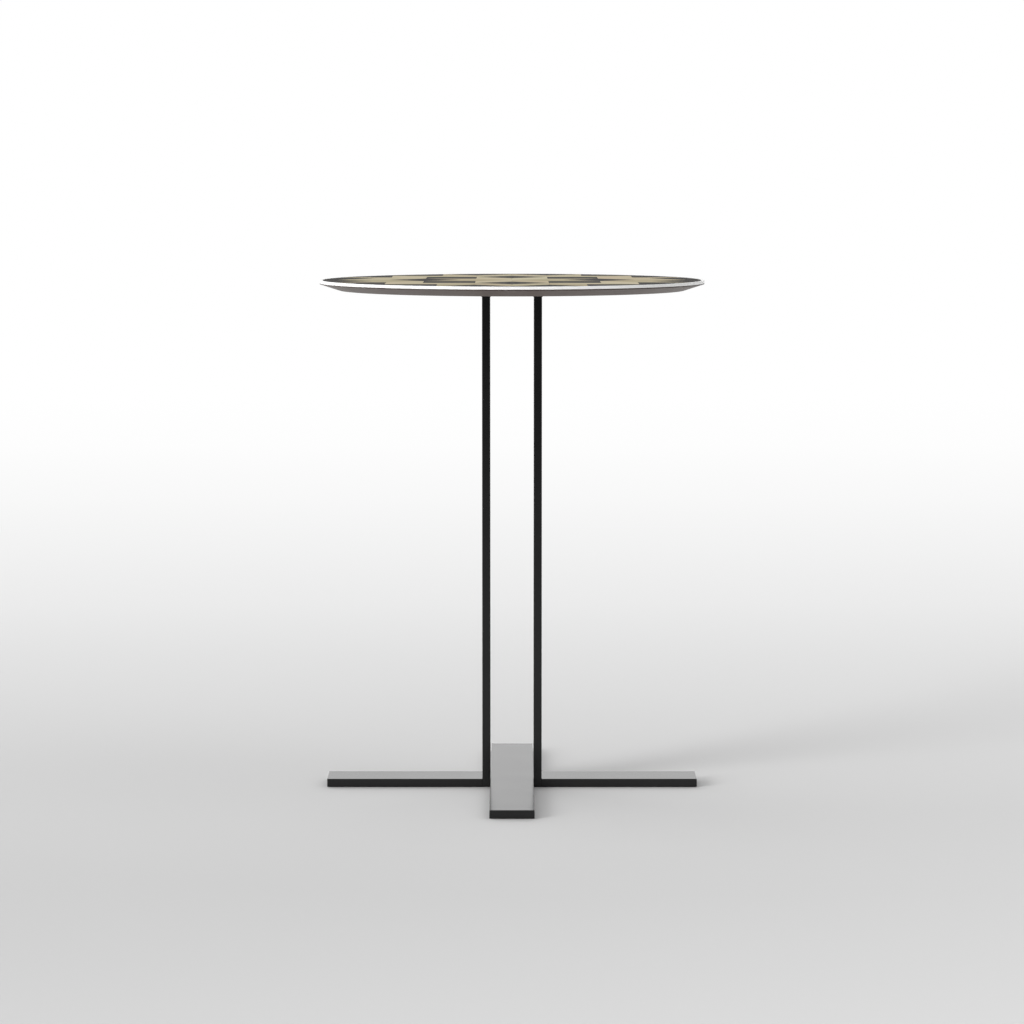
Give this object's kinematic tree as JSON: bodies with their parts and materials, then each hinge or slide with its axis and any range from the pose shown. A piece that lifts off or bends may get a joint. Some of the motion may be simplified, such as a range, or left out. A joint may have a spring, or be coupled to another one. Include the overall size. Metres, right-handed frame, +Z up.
{
  "type": "side table",
  "caption": "Round side table: an inlaid star-pattern disc top with a metal edge band, on flat upright steel bars and a flat cross-shaped foot.",
  "frame": {"origin": "on the floor, under the centre of the round top", "axes": "+Z up; +X along the line through the two posts, to the right as seen from the front; +Y to the back, along the bar of the cross that passes between the posts"},
  "size_m": [0.4499, 0.45, 0.598],
  "materials": {
    "panel_board": "brown-grey painted board, matt",
    "band_metal": "satin",
    "light_veneer": "straight-grained pale veneer, satin lacquer",
    "dark_veneer": "smoked grey veneer, satin lacquer",
    "backing_veneer": "brown-grey painted veneer, matt",
    "insert_brass": "turned",
    "black_steel": "satin black powder coat",
    "screw_steel": "zinc plated",
    "weld_steel": "satin black powder coat over dressed weld",
    "glide_nylon": "moulded nylon"
  },
  "bodies": {
    "root": {"top_panel": "panel_board", "rim_band": "band_metal", "star_lozenges": "light_veneer", "inner_squares": "dark_veneer", "radial_lozenges": "light_veneer", "side_lozenges": "light_veneer", "border_squares": "dark_veneer", "border_wedges": "dark_veneer", "backing_veneer": "backing_veneer", "threaded_inserts": "insert_brass", "mounting_plate": "black_steel", "plate_screws": "screw_steel", "plate_welds": "weld_steel", "post_left": "black_steel", "post_right": "black_steel", "leg_left": "black_steel", "leg_right": "black_steel", "cross_bar": "black_steel", "foot_welds": "weld_steel", "glide_left": "glide_nylon", "glide_right": "glide_nylon", "glide_front": "glide_nylon", "glide_back": "glide_nylon"}
  },
  "joints": []
}
